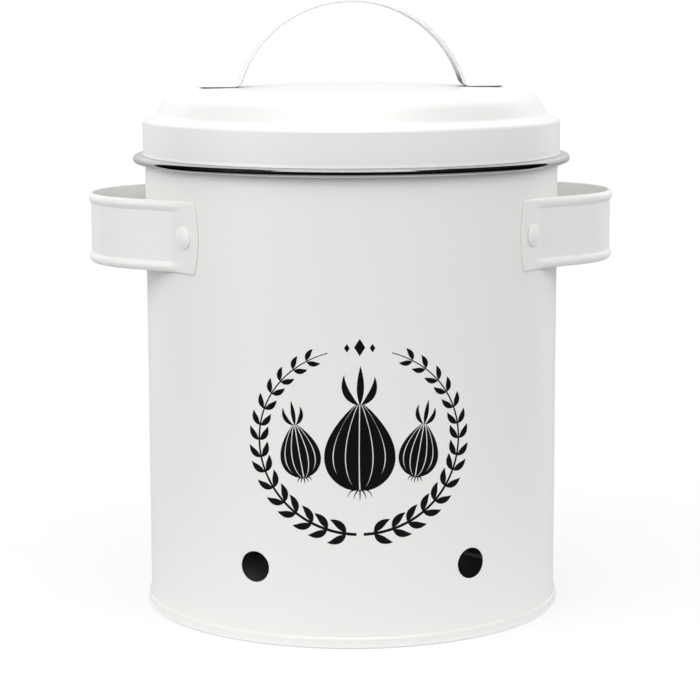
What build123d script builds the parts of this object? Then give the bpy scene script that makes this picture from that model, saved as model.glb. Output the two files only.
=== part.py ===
from build123d import *
import os
from math import asin, atan, atan2, cos, degrees, hypot, radians, sin, tan

# A cylindrical sheet-steel keeper for onions. It stands on Z = 0 with its axis on Z.
# Its front faces -Y, its two side handles lie on +X and -X, and its lid lifts off along +Z.
# All sizes are millimetres.

# Driving sizes
BODY_R = 90.0
SHEET = 0.4
RIM_TOP_Z = 198.0
SEAM_HEIGHT = 4.7
STRAP = 0.9
LID_STRAP = 1.0

# Base
HOOK_GAP = 0.15
PANEL_TOP_Z = 5.0
STEP_R = 78.0
STEP_DROP = 1.2

# Rolled rim and its trim
TRIM_SHEET = 0.45
TRIM_R = 95.3
TRIM_HEIGHT = 3.3
TRIM_TOP_INNER_R = 89.9
TRIM_FOOT_INNER_R = 90.4
CURL_END_R = 91.0
CURL_PLAY = 0.2

# Vents and the lengthwise seam at the back
VENT_COUNT = 6
VENT_R = 6.5
VENT_Z = 32.4
BACK_SEAM_WIDTH = 6.0
BACK_SEAM_FOLD = 2 * SHEET
BACK_SEAM_Z = (6.0, 186.0)
SEAM_LINE_WIDTH = 0.6
SEAM_LINE_DEPTH = 0.15

# Lid
LID_GAP = 0.2
SKIRT_R = 90.95
HEM_GAP = 0.3
HEM_HEIGHT = 2.6
LEDGE_OUTER_Z = 213.2
LEDGE_INNER = (85.2, 215.2)
SHOULDER_LOW = (80.7, 223.8)
SHOULDER_HIGH = (71.7, 226.55)
CROWN_R = 20.0
CROWN_Z = 227.3
LID_BENDS = [1.1, 2.6, 9.6, 29.6, 60.0]
COLLAR_R = 88.6
COLLAR_FOOT_Z = 188.3
COLLAR_LEAD = (0.7, 2.0)
COLLAR_FLANGE_R = 89.7

# Side handles, seen in plan: foot, outward bend, straight leg and rounded apex
HANDLE_Z = 166.9
HANDLE_HEIGHT = 30.0
HANDLE_REACH = 112.9
FOOT_END = 42.3
FOOT_START = 33.0
LEG_BEND_R = 12.0
APEX_R = 42.0
HEM_WIDTH = 4.4
HEM_RISE = 0.9
FOOT_TIP_R = 41.0
EDGE_ROUND = 0.6

# Rivets
RIVET_ANGLE = 36.5
RIVET_HEAD_R = 4.75
RIVET_HEAD_HEIGHT = 1.6
RIVET_HEAD_EDGE = 0.4
SHANK_R = 2.0
SHANK_PLAY = 0.1
RIVET_TAIL_R = 3.3
RIVET_TAIL_HEIGHT = 0.9

# Lid handle, seen from the front: flat foot, bend and round arch
ARCH_WIDTH = 18.0
ARCH_HALF_LENGTH = 65.6
ARCH_FOOT_Z = 226.95
ARCH_FOOT_RUN = 14.5
ARCH_HEIGHT = 36.45
ARCH_BEND_R = 4.0
ARCH_HEM_WIDTH = 4.0
ARCH_HEM_RISE = 0.95

WALL_INNER_R = BODY_R - SHEET
TRIM_INNER_TOP_Z = RIM_TOP_Z - TRIM_SHEET
TRIM_INNER_FOOT_Z = RIM_TOP_Z - TRIM_HEIGHT + TRIM_SHEET
CURL_OUTER_R = TRIM_R - TRIM_SHEET
SKIRT_FOOT_Z = RIM_TOP_Z + LID_GAP
HEM_INNER_R = SKIRT_R - 2 * SHEET - HEM_GAP


def bent_line(points, radii):
    """Edges through the points, with an arc in each corner whose radius isn't zero."""
    edges = []
    start = points[0]
    for before, corner, after, radius in zip(points, points[1:], points[2:], radii):
        into = (corner - before).normalized()
        out = (after - corner).normalized()
        cut = radius * tan(radians(into.get_angle(out)) / 2)
        edges.append(Line(start, corner - into * cut))
        start = corner + out * cut
        if cut > 0:
            edges.append(TangentArc(corner - into * cut, start, tangent=into))
    edges.append(Line(start, points[-1]))
    return edges


def sheet_section(points, bends, thickness):
    """Closed section of bent sheet in the XZ plane.

    One face of the sheet follows the points as (radius, height) and the other
    lies one thickness to their left. Each bend is the radius inside that corner.
    A fold that is hidden in a seam, a hem or the trim has no radius and stays square.
    """
    here = [Vector(x, z) for x, z in points]
    runs = [(b - a).normalized() for a, b in zip(here, here[1:])]
    lefts = [Vector(-run.Y, run.X) for run in runs]
    there = [here[0] + lefts[0] * thickness]
    near_radii = []
    far_radii = []
    for corner, bend, before, after in zip(here[1:], bends, lefts, lefts[1:]):
        there.append(corner + (before + after) * (thickness / (1 + before.dot(after))))
        turns_left = before.cross(after).Z > 0
        wide = bend + thickness if bend else 0
        near_radii.append(wide if turns_left else bend)
        far_radii.append(bend if turns_left else wide)
    there.append(here[-1] + lefts[-1] * thickness)
    ends = [Line(here[0], there[0]), Line(here[-1], there[-1])]
    return Plane.XZ * make_face([*bent_line(here, near_radii), *bent_line(there, far_radii), *ends])


def spun(section):
    """The section turned once about the keeper's axis."""
    return revolve(section, axis=Axis.Z)


def radial(shape, angle, z):
    """A shape drawn about +Z, laid along the radius at an angle in plan."""
    return Pos(0, 0, z) * Rot(0, 0, angle) * Rot(0, 90, 0) * shape


def rivet_angles():
    """Plan angles of the four rivets, the right handle's two first."""
    return [side + turn * RIVET_ANGLE for side in (0, 180) for turn in (-1, 1)]


def body_wall():
    """Rolled sheet tube: curled out at the rim, hooked at the base, vented and seamed."""
    hook_r = BODY_R + SHEET
    curl_r = CURL_OUTER_R - SHEET - CURL_PLAY
    curl_top = TRIM_INNER_TOP_Z - SHEET
    curl_foot = TRIM_INNER_FOOT_Z + SHEET
    curl_slope = (curl_top - curl_foot) / 2
    points = [
        (hook_r, SEAM_HEIGHT - SHEET - HOOK_GAP),
        (hook_r, 2 * SHEET),
        (BODY_R, 2 * SHEET),
        (BODY_R, curl_top),
        (curl_r - curl_slope, curl_top),
        (curl_r, curl_top - curl_slope),
        (curl_r - curl_slope, curl_foot),
        (CURL_END_R, curl_foot),
    ]
    wall = spun(sheet_section(points, [0, 0, 0, 0, 0, 0], SHEET))
    return wall + back_seam() - seam_line() - vents() - shank_holes()


def back_seam():
    """Flattened lock seam inside the wall at the back, two thicknesses deep."""
    low, high = BACK_SEAM_Z
    height = high - low
    base = Align.CENTER, Align.CENTER, Align.MIN
    ring = Cylinder(WALL_INNER_R, height, align=base)
    ring -= Cylinder(WALL_INNER_R - BACK_SEAM_FOLD, height, align=base)
    strip = Pos(0, WALL_INNER_R, 0) * Box(BACK_SEAM_WIDTH, 4, height, align=base)
    return Pos(0, 0, low) * (ring & strip)


def seam_line():
    """Shallow line that the lock seam leaves down the outside."""
    height = TRIM_INNER_FOOT_Z - SEAM_HEIGHT - 2
    bar = Box(SEAM_LINE_WIDTH, 2 * SEAM_LINE_DEPTH, height)
    return Pos(0, BODY_R, SEAM_HEIGHT + 1 + height / 2) * bar


def vents():
    """Air holes near the base, evenly spaced, with two of them at the front."""
    drill = Cylinder(VENT_R, 2 * BODY_R + 10)
    pitch = 360 / VENT_COUNT
    return Part() + [radial(drill, pitch * i, VENT_Z) for i in range(VENT_COUNT // 2)]


def shank_holes():
    """Holes for the four rivet shanks, through wall and straps alike."""
    drill = Pos(0, 0, BODY_R) * Cylinder(SHANK_R + SHANK_PLAY / 2, 10)
    return Part() + [radial(drill, angle, HANDLE_Z) for angle in rivet_angles()]


def base_plate():
    """Base sheet with its recessed panel, rolled round the wall's hook as a double seam."""
    cover_r = BODY_R + 2 * SHEET
    points = [
        (BODY_R + SHEET, 3 * SHEET),
        (BODY_R + SHEET, SEAM_HEIGHT - SHEET),
        (cover_r, SEAM_HEIGHT - SHEET),
        (cover_r, SHEET),
        (WALL_INNER_R, SHEET),
        (WALL_INNER_R, PANEL_TOP_Z),
        (STEP_R, PANEL_TOP_Z),
        (STEP_R - 2, PANEL_TOP_Z - STEP_DROP),
        (0, PANEL_TOP_Z - STEP_DROP),
    ]
    return spun(sheet_section(points, [0, 0, 0, 0, 0, 0, 0], SHEET))


def rim_ring():
    """Bright trim pressed round the curled rim."""
    bend = (TRIM_INNER_TOP_Z - TRIM_INNER_FOOT_Z) / 2 - 0.02
    points = [
        (TRIM_TOP_INNER_R, TRIM_INNER_TOP_Z),
        (CURL_OUTER_R, TRIM_INNER_TOP_Z),
        (CURL_OUTER_R, TRIM_INNER_FOOT_Z),
        (TRIM_FOOT_INNER_R, TRIM_INNER_FOOT_Z),
    ]
    return spun(sheet_section(points, [bend, bend], TRIM_SHEET))


def lid_cap():
    """Pressed lid: hemmed skirt, sloping ledge, steep flank, soft shoulder, low crown."""
    points = [
        (HEM_INNER_R, SKIRT_FOOT_Z + HEM_HEIGHT),
        (HEM_INNER_R, SKIRT_FOOT_Z),
        (SKIRT_R, SKIRT_FOOT_Z),
        (SKIRT_R, LEDGE_OUTER_Z),
        LEDGE_INNER,
        SHOULDER_LOW,
        SHOULDER_HIGH,
        (CROWN_R, CROWN_Z),
        (0, CROWN_Z),
    ]
    return spun(sheet_section(points, [0, 0, *LID_BENDS], SHEET))


def lid_collar():
    """Ring inside the lid that drops into the mouth, flanged out under the ledge."""
    ledge_fall = (LEDGE_INNER[1] - LEDGE_OUTER_Z) / (SKIRT_R - LEDGE_INNER[0])
    slant = cos(atan(ledge_fall))
    below_ledge = 2 * SHEET / slant + 0.02
    flange_z = LEDGE_INNER[1] - (COLLAR_R - LEDGE_INNER[0]) * ledge_fall - below_ledge
    lead_in, lead_up = COLLAR_LEAD
    points = [
        (COLLAR_R - lead_in, COLLAR_FOOT_Z),
        (COLLAR_R, COLLAR_FOOT_Z + lead_up),
        (COLLAR_R, flange_z),
        (COLLAR_FLANGE_R, flange_z - (COLLAR_FLANGE_R - COLLAR_R) * ledge_fall),
    ]
    return spun(sheet_section(points, [2.0, 0], SHEET))


def side_path(offset, reach):
    """Half of a side handle's plan line, from foot end to apex, as edges.

    offset is measured outward from the strap's inner face, and reach is where
    the inner face crosses the X axis. The leg's heading follows from both ends.
    """
    across = (BODY_R + LEG_BEND_R) * sin(radians(FOOT_START))
    along = (BODY_R + LEG_BEND_R) * cos(radians(FOOT_START)) + APEX_R - reach
    turns = LEG_BEND_R + APEX_R
    heading = asin(turns / hypot(across, along)) - atan2(along, across)
    run = (across - turns * sin(heading)) / cos(heading)
    end = radians(FOOT_END)
    foot_r = BODY_R + offset
    start = (foot_r * cos(end), foot_r * sin(end))
    foot = JernArc(start, (sin(end), -cos(end)), foot_r, FOOT_START - FOOT_END)
    bend = JernArc(foot @ 1, foot % 1, LEG_BEND_R - offset, degrees(heading) - FOOT_START)
    leg = Line(bend @ 1, bend @ 1 + (bend % 1) * run)
    apex = JernArc(leg @ 1, leg % 1, APEX_R + offset, -degrees(heading))
    return [foot, bend, leg, apex]


def arch_path(offset, height):
    """Half of the lid handle's line from foot end to crown, as edges in the XY plane.

    offset is measured upward from the strap's lower face, and height is from
    the lower face of the foot to the lower face of the crown.
    """
    half_span = ARCH_HALF_LENGTH - ARCH_FOOT_RUN
    climb = 2 * atan(height / half_span)
    arch_r = half_span / sin(climb) - ARCH_BEND_R
    start = Vector(ARCH_HALF_LENGTH, ARCH_FOOT_Z + offset)
    foot = Line(start, start - Vector(ARCH_FOOT_RUN, 0))
    bend = JernArc(foot @ 1, foot % 1, ARCH_BEND_R - offset, -degrees(climb))
    arch = JernArc(bend @ 1, bend % 1, arch_r + offset, degrees(climb))
    return [foot, bend, arch]


def band(outer, inner, about):
    """Face between two half lines and their mirror images."""
    half = [*outer, *inner, Line(outer[0] @ 0, inner[0] @ 0)]
    return make_face([*half, *[mirror(edge, about=about) for edge in half]])


def hemmed_strap(path, thickness, size, rise, about, width, hem_width):
    """Strap with its two long edges folded out into hems that fade towards the feet."""
    inner = path(0, size)
    plain = band(path(thickness, size), inner, about)
    folded_line = path(thickness, size + rise)
    folded = band(folded_line, inner, about)
    middle = Pos(0, 0, -width / 2 + hem_width) * extrude(plain, width - 2 * hem_width)
    strap = middle
    for foot in (-width / 2, width / 2 - hem_width):
        strap += Pos(0, 0, foot) * extrude(folded, hem_width)
    rounded = []
    for level in (-width / 2, width / 2):
        outline = [edge.moved(Pos(0, 0, level)) for edge in folded_line]
        outline += [mirror(edge, about=about) for edge in outline]
        for edge in strap.edges():
            if any(lies_on(edge, line) for line in outline):
                rounded.append(edge)
    return fillet(rounded, EDGE_ROUND)


def lies_on(edge, line):
    """True where an edge runs along a line."""
    return all(line.distance_to(Vertex(edge @ share)) < 0.001 for share in (0.1, 0.5, 0.9))


def foot_corners():
    """What is cut from the four foot corners of one strap to leave its rounded tips."""
    tip = radians(FOOT_END - RIVET_ANGLE) * BODY_R
    align = Align.MIN, Align.CENTER, Align.CENTER
    blank = Pos(tip - 3, 0, 0) * Box(10, HANDLE_HEIGHT + 2, 10, align=align)
    blank -= Pos(tip - FOOT_TIP_R, 0, 0) * Cylinder(FOOT_TIP_R, 12)
    angle = radians(RIVET_ANGLE)
    outward = (cos(angle), sin(angle), 0)
    sideways = (-sin(angle), cos(angle), 0)
    place = Plane(origin=(BODY_R * cos(angle), BODY_R * sin(angle), 0), x_dir=sideways, z_dir=outward)
    cut = place * blank
    return cut + mirror(cut, about=Plane.XZ)


def side_handle(side):
    """Strap handle on +X for side 1, or on -X for side -1."""
    strap = hemmed_strap(side_path, STRAP, HANDLE_REACH, HEM_RISE, Plane.XZ, HANDLE_HEIGHT, HEM_WIDTH)
    strap = Pos(0, 0, HANDLE_Z) * (strap - foot_corners()) - shank_holes()
    return strap if side > 0 else mirror(strap, about=Plane.YZ)


def rivet(angle):
    """Domed rivet whose head and tail fit the curved strap and wall."""
    seat = BODY_R + STRAP
    crown = seat + RIVET_HEAD_HEIGHT
    edge = seat + RIVET_HEAD_EDGE
    rise = crown - edge
    dome_r = (RIVET_HEAD_R ** 2 + rise ** 2) / (2 * rise)
    middle = (dome_r * sin(radians(10)), crown - dome_r * (1 - cos(radians(10))))
    outline = [
        Line((0, BODY_R), (RIVET_HEAD_R, BODY_R)),
        Line((RIVET_HEAD_R, BODY_R), (RIVET_HEAD_R, edge)),
        ThreePointArc((RIVET_HEAD_R, edge), middle, (0, crown)),
        Line((0, crown), (0, BODY_R)),
    ]
    head = revolve(Plane.XZ * make_face(outline), axis=Axis.Z)
    base = Align.CENTER, Align.CENTER, Align.MIN
    tail_start = WALL_INNER_R - RIVET_TAIL_HEIGHT
    tail = Pos(0, 0, tail_start) * Cylinder(RIVET_TAIL_R, RIVET_TAIL_HEIGHT, align=base)
    shank = Pos(0, 0, tail_start) * Cylinder(SHANK_R, edge - tail_start, align=base)
    head = radial(head, angle, HANDLE_Z) - Pos(0, 0, HANDLE_Z) * Cylinder(seat, 20)
    tail = radial(tail, angle, HANDLE_Z) & Pos(0, 0, HANDLE_Z) * Cylinder(WALL_INNER_R, 20)
    return head + tail + radial(shank, angle, HANDLE_Z)


def lid_handle():
    """Arched strap handle across the lid, along X, on two flat feet."""
    size = ARCH_HEIGHT
    strap = hemmed_strap(arch_path, LID_STRAP, size, ARCH_HEM_RISE, Plane.YZ, ARCH_WIDTH, ARCH_HEM_WIDTH)
    return Rot(90, 0, 0) * strap


def main():
    os.makedirs("parts", exist_ok=True)
    nodes = {
        "body_wall": body_wall(),
        "base_plate": base_plate(),
        "rim_ring": rim_ring(),
        "lid_cap": lid_cap(),
        "lid_collar": lid_collar(),
        "lid_handle": lid_handle(),
        "side_handle_right": side_handle(1),
        "side_handle_left": side_handle(-1),
        "side_handle_rivets": Compound([rivet(angle).solid() for angle in rivet_angles()]),
    }
    for name, shape in nodes.items():
        export_step(shape, f"parts/{name}.step")
        print(name, "volume", round(shape.volume, 1))


main()
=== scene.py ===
from math import asin, atan, atan2, ceil, cos, hypot, pi, radians, sin, sqrt, tan

import bmesh
import bpy
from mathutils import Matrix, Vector


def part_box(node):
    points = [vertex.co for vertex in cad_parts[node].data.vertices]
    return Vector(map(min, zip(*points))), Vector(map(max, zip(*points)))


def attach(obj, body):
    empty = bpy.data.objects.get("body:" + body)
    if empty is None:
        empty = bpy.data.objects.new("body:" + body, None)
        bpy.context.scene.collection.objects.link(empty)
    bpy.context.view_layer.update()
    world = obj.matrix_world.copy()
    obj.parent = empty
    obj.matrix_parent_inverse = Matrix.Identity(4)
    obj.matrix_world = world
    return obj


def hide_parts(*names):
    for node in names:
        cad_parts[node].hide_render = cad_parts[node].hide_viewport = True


bl_info = {
    "name": "Onion tin",
    "version": (1, 0, 0),
    "blender": (4, 5, 0),
    "location": "View3D > Sidebar > Tin",
    "description": "Builds a powder-coated onion tin with its lid, handles and printed emblem",
    "category": "Object",
}

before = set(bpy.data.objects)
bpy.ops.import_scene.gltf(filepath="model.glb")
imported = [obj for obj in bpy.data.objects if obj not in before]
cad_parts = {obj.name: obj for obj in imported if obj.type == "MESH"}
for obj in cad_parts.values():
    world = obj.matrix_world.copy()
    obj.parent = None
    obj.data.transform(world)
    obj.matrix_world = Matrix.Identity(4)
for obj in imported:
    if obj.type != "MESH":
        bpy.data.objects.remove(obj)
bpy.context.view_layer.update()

MM = 0.001

BASE_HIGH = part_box("base_plate")[1]
RING_LOW, RING_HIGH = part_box("rim_ring")
CAP_LOW, CAP_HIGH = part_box("lid_cap")
COLLAR_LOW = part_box("lid_collar")[0]
ARCH_LOW, ARCH_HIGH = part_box("lid_handle")
SIDE_LOW, SIDE_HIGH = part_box("side_handle_right")
SIDE_MIDDLE_Z = (SIDE_LOW[2] + SIDE_HIGH[2]) / 2

# Fineness of the meshes: a bend's steps, the points that keep flats flat, the difference
# below which two lengths count as one, columns round the tin, and where an edge is sharp
ARC_STEP = radians(9)
GUARD = 0.12 * MM
SAME = 0.012 * MM
COLUMNS = 360
SMOOTH_LIMIT = radians(38)

# Pressed and seamed sheet
PRESSED_R = 0.14 * MM
SEAM_HEIGHT = 4.7 * MM
SEAM_SLOPE = 0.5 * MM
HOOK_GAP = 0.4 * MM
HOOK_BENDS = (0.05 * MM, 0.05 * MM, 0.8 * MM)
PANEL_TOP_Z = 5.0 * MM
STEP_R = 78.0 * MM
STEP_RUN = 2.0 * MM
STEP_DROP = 1.2 * MM
BASE_BENDS = (0.02 * MM, 0.8 * MM, 0.6 * MM, 0.19 * MM, 0.8 * MM, 0.8 * MM, 0.8 * MM)

# Vents, evenly round from +X with two at the front, and the lengthwise seam at the back
VENT_COUNT = 6
VENT_CELLS = 16
VENT_LIP = 0.12 * MM
LIP_STEPS = 4
VENT_PATCH = 10.0 * MM
VENT_CELL = 2 * VENT_PATCH / VENT_CELLS
VENT_SHARES = (0.72, 0.46, 0.24, 0.08, 0.0)
PLAIN_CELLS = 48
LOCK_SEAM_WIDTH = 6.0 * MM
LOCK_SEAM_Z = (6.0 * MM, 186.0 * MM)
LOCK_SEAM_BITE = 0.05 * MM
LOCK_SEAM_EDGE = 0.2 * MM

# Pressed line outside the back seam, as places along the wall and depths in millimetres
GROOVE = ((-0.55, 0.0), (-0.3, 0.05), (-0.14, 0.14), (0.0, 0.15), (0.14, 0.14), (0.3, 0.05), (0.55, 0.0))
GROOVE_END = 1.0 * MM
GROOVE_Z = (SEAM_HEIGHT + GROOVE_END, RING_LOW[2] - GROOVE_END)
GROOVE_RUNOUT = 0.1 * MM

# Rim and trim
TRIM_SHEET = 0.45 * MM
TRIM_TOP_INNER_R = 89.9 * MM
TRIM_FOOT_INNER_R = 90.4 * MM
CURL_END_R = 91.0 * MM
CURL_SLACK = 0.02 * MM
TRIM_SLACK = 0.01 * MM

# Lid, whose skirt sits on the trim where the frame leaves a gap for contact
SKIRT_DROP = 0.17 * MM
SKIRT_FLARE = (0.3 * MM, 1.4 * MM)
HEM_GAP = 0.3 * MM
HEM_HEIGHT = 2.6 * MM
LEDGE_OUTER_Z = 213.2 * MM
LEDGE_INNER = (85.2 * MM, 215.2 * MM)
SHOULDER_LOW = (80.7 * MM, 223.8 * MM)
SHOULDER_HIGH = (71.7 * MM, 226.55 * MM)
CROWN_R = 20.0 * MM
LID_BENDS = (0.0, 0.0, 2.0 * MM, 1.1 * MM, 2.6 * MM, 9.6 * MM, 29.6 * MM, 60.0 * MM)
COLLAR_R = 88.6 * MM
COLLAR_LEAD = (0.7 * MM, 2.0 * MM)
COLLAR_FLANGE_R = 89.7 * MM
COLLAR_GAP = 0.02 * MM
COLLAR_BENDS = (2.0 * MM, 0.2 * MM)

# Side handles in plan
FOOT_END = radians(42.3)
FOOT_START = radians(33)
LEG_BEND_R = 12.0 * MM
APEX_R = 42.0 * MM
SIDE_BEAD_RISE = 0.9 * MM
SIDE_BEAD_WIDTH = 4.4 * MM
FOOT_TIP_R = 41.0 * MM
SIDE_STEPS = {"foot": 16, "bend": 14, "leg": 8, "apex": 28}

# Rivets: head, shank through strap and wall, and the tail set inside
RIVET_ANGLE = radians(36.5)
RIVET_SIDES = 40
DOME_STEPS = 12
ROUND_STEPS = 3
RIVET_HEIGHT = 1.6 * MM
RIVET_EDGE = 0.5 * MM
RIVET_ROUND = 0.22 * MM
RIVET_LIFT = 0.2 * MM
RIVET_ROLL = 0.1 * MM
RIVET_UNDERCUT = 0.7 * MM
RIVET_BITE = 0.05 * MM
SHANK_R = 2.0 * MM
TAIL_R = 3.2 * MM
TAIL_EDGE = 0.5 * MM
TAIL_FACE_R = 2.6 * MM
TAIL_FACE = 0.85 * MM
TAIL_HEIGHT = 0.88 * MM

# Lid handle, seen from the front
ARCH_FOOT_RUN = 14.5 * MM
ARCH_BEND_R = 4.0 * MM
ARCH_BEAD_RISE = 0.95 * MM
ARCH_BEAD_WIDTH = 3.6 * MM
ARCH_CORNER_R = 2.2 * MM
ARCH_STEPS = {"foot": 14, "bend": 10, "arch": 44}

# Edges of the straps, rounded along their length and at the tips of their feet
SIDE_NOSE = (1.1 * MM, 0.6 * MM)
ARCH_NOSE = (0.9 * MM, 1.6 * MM)
NOSE_STEPS = 6
NOSE_MIDDLE = 0.45
BEAD_START = 6.0 * MM
BEAD_STEPS = 14
BEAD_GUARDS = (0.25 * MM, 1.2 * MM)

# Which faces get painted shade inside and under the lid handle, by their depth in the sheet and way they
# face
WALL_SPLIT = 0.7
PANEL_UP = 0.3
ARCH_DOWN = -0.75
ARCH_INWARD = -0.65

# Painted shade under the lid handle, by its share of a climb from the feet
ARCH_SHADE_CLIMB = 16.0 * MM
ARCH_SHADE_TONES = ((0.0, "#101010"), (0.2, "#1C1C1C"), (0.42, "#A2A2A0"), (1.0, "#D6D6D4"))

# Place of the printed emblem, along the wall and up, its width in its own units, and the ink
PRINT_SHIFT = -2.0 * MM
PRINT_Z = 86.7 * MM
PRINT_UNITS = 94.0
INK = 0.03 * MM

# Onions of the emblem, in its own units, as centre, width, height and tilt
BULBS = (
    ((0.0, -2.0), 33.0, 37.0, 0.0),
    ((-25.0, -4.0), 19.5, 23.0, radians(10)),
    ((25.0, -4.0), 19.5, 23.0, radians(-10)),
)

# A bulb's outline, and its dark bands as shares of its half width, with light gaps between
BULB_FULLEST = 0.80
BULB_ROUND = 0.72
BULB_TAPER = 0.25
BANDS = (-1.0, -0.74, -0.4, -0.02, 0.36, 0.7, 1.0)
BAND_FOOT = 0.015
BAND_RUN = 0.97
BAND_GAP = 0.4
BAND_LEAST = 0.06
BAND_STEPS = 30
BAND_ACROSS = 4

# Its sprouting blades as lean and rise, and its roots as leans
BLADES = ((-0.46, 0.30), (0.02, 0.40), (0.44, 0.28))
BLADE_FOOT = (1.5, 0.47)
BLADE_SPREAD = 0.42
BLADE_BOW = 0.35
BLADE_WIDTH = 0.042
BLADE_STEPS = 24
ROOTS = (-0.5, -0.25, 0.0, 0.25, 0.5)
ROOT_FOOT = (2.2, 0.48)
ROOT_SPREAD = 0.30
ROOT_LENGTH = (0.60, 0.08)
ROOT_BOW = 0.4
ROOT_WIDTHS = (0.36, 0.26)
ROOT_STEPS = 10

# Wreath: its half width and half height, the sweep of a branch, and the leaves along it
WREATH = (42.5, 38.5)
WREATH_START = radians(-88)
WREATH_SWEEP = radians(160)
WREATH_STEPS = 120
STEM_WIDTHS = (0.62, 0.44)
LEAF_PAIRS = 15
LEAF_FIRST = 4
LEAFLESS_STEPS = 6
LEAF_LONGEST = 9.0
LEAF_TAPER = 3.2
LEAF_LEAN = radians(33)
LEAF_STALK = 0.5
LEAF_BOW = 0.10
LEAF_WIDTH = 0.165
LEAF_LEAST = 0.08
LEAF_FULLEST = 0.85
LEAF_STEPS = 14

# Diamonds over the wreath, as place, lift, width and height
DIAMONDS = ((0.0, 0.5, 4.4, 7.0), (-5.2, 0.2, 2.2, 3.4), (5.2, 0.2, 2.2, 3.4))
DIAMOND_LEAST = 0.05
DIAMOND_STEPS = 12

# Table top: half its size, and how much it lights up to the eye to show as white
FLOOR_HALF = 30000 * MM
FLOOR_LIFT = 0.45

# Cards on the table that glow, though they are no lamps, and only mirrors see: they paint the reflections
# in the trim, a dark one round the front, glowing grey near the tin and lower where the light comes in over
# it, and a grey one behind
CARD_STEPS = 120
CARD_INNER_R = 92 * MM
CARD_FOOT_R = 400 * MM
CARD_TOP_R = 600 * MM
CARD_LIFT = 1.0 * MM
FRONT_REACH = radians(112)
FRONT_TOP_Z = (660 * MM, 1400 * MM)
FRONT_WINDOW = (radians(-4), radians(38), radians(20))
FRONT_LEVELS = (0.6, 0.0)
FRONT_FADE = (CARD_INNER_R, CARD_FOOT_R)
BACK_TOP_Z = 600 * MM
BACK_LEVELS = (0.5, 0.95)
BACK_FADE = (460 * MM, 620 * MM)

# Softbox at the left: its power in watts, its size and place, and the point that it faces
LEFT_LAMP = 2.4
LEFT_LAMP_SIZE = 800 * MM
LEFT_LAMP_PLACE = (-1300 * MM, -700 * MM, 700 * MM)
LEFT_LAMP_TARGET = (0.0, 0.0, 120 * MM)

# White surroundings: their strength to the eye and as a lamp, by height and from front to back
SKY_TILT = radians(4)
SKY_SEEN = 1.0
SKY_LAMP = 3.07
SKY_BACK_DROP = 0.42
SKY_RAMP = ((0.0, 0.2), (0.2, 0.64), (0.4, 1.0), (0.6, 0.92), (0.8, 0.28), (1.0, 0.05))

# Camera: lens and sensor in millimetres, place round the tin, and turn
CAMERA_LENS = 120.1
CAMERA_SENSOR = 36.0
CAMERA_CLIP = (50 * MM, 100000 * MM)
CAMERA_SIDE = radians(-3.3)
CAMERA_REACH = 1023.3 * MM
CAMERA_Z = 271.05 * MM
CAMERA_PITCH = radians(8.911)
CAMERA_ROLL = radians(0.16)
CAMERA_TURN = radians(-3.279)


def linear(code):
    """A colour written as sRGB hex, turned to linear RGB."""
    channels = [int(code[i:i + 2], 16) / 255 for i in (1, 3, 5)]
    return tuple(c / 12.92 if c <= 0.04045 else ((c + 0.055) / 1.055) ** 2.4 for c in channels)


def length(name, default, description):
    """A length property in metres."""
    return bpy.props.FloatProperty(
        name=name, description=description, default=default, min=0.0, precision=5, unit="LENGTH"
    )


def colour(name, code, description):
    """A colour property from sRGB hex."""
    return bpy.props.FloatVectorProperty(
        name=name, description=description, default=linear(code), subtype="COLOR", min=0.0, max=1.0
    )


class TinSizes(bpy.types.PropertyGroup):
    """Sizes of the tin's sheet, vents, handles and rivets."""

    sheet: length("Sheet", 0.4 * MM, "Thickness of the wall, base and lid sheet")
    wall_r: length("Wall radius", 90.0 * MM, "Outside radius of the wall")
    vent_r: length("Vent radius", 6.5 * MM, "Radius of the air holes")
    vent_z: length("Vent height", 32.4 * MM, "Height of the air holes' centres")
    strap: length("Side strap", 0.9 * MM, "Thickness of the side handles")
    lid_strap: length("Lid strap", 1.0 * MM, "Thickness of the lid handle")
    rivet_r: length("Rivet radius", 4.75 * MM, "Radius of the rivet heads")
    print_width: length("Emblem width", 94.0 * MM, "Width of the printed emblem along the wall")


class TinColours(bpy.types.PropertyGroup):
    """Colours of the tin's finishes and its stage."""

    coat: colour("Powder coat", "#F1F0EE", "White powder coat of the sheet parts")
    coat_shade: colour("Powder coat, thin", "#EDECEA", "Where the coat lies a little thinner")
    # Painted shade: the inside coat is grey to stand in for the dark inside the closed tin
    inside: colour("Inside coat", "#8C8C8A", "Thin coat on the inside faces")
    trim: colour("Trim", "#CDCDCF", "Polished stainless trim")
    ink: colour("Ink", "#060606", "Screen-printed emblem")
    floor: colour("Floor", "#B4B4B4", "Matt white table top")


def sizes():
    """The scene's sizes."""
    return bpy.context.scene.tin_sizes


def inner_r():
    """Inside radius of the wall."""
    return sizes().wall_r - sizes().sheet


def colours():
    """The scene's colours."""
    return bpy.context.scene.tin_colours


def per(real_size):
    """Texture scale that repeats once in a real length."""
    return 1.0 / real_size


def add_node(owner, kind, inputs=None, **settings):
    """Adds a node to a material or the world, with its properties, and sets or links its inputs."""
    tree = owner.node_tree
    node = tree.nodes.new(kind)
    for name, value in settings.items():
        setattr(node, name, value)
    for name, value in (inputs or {}).items():
        if isinstance(value, bpy.types.NodeSocket):
            tree.links.new(value, node.inputs[name])
        else:
            node.inputs[name].default_value = value
    return node


def rgba(value):
    """A colour with full alpha."""
    return (*value, 1.0)


def finish(name, make, *details):
    """The material of that name, made once, whose surface is the shader that make builds."""
    material = bpy.data.materials.get(name)
    if not material:
        material = bpy.data.materials.new(name)
        material.use_nodes = True
        material.node_tree.nodes.clear()
        shader = make(material, *details)
        add_node(material, "ShaderNodeOutputMaterial", {"Surface": shader})
    return material


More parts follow.
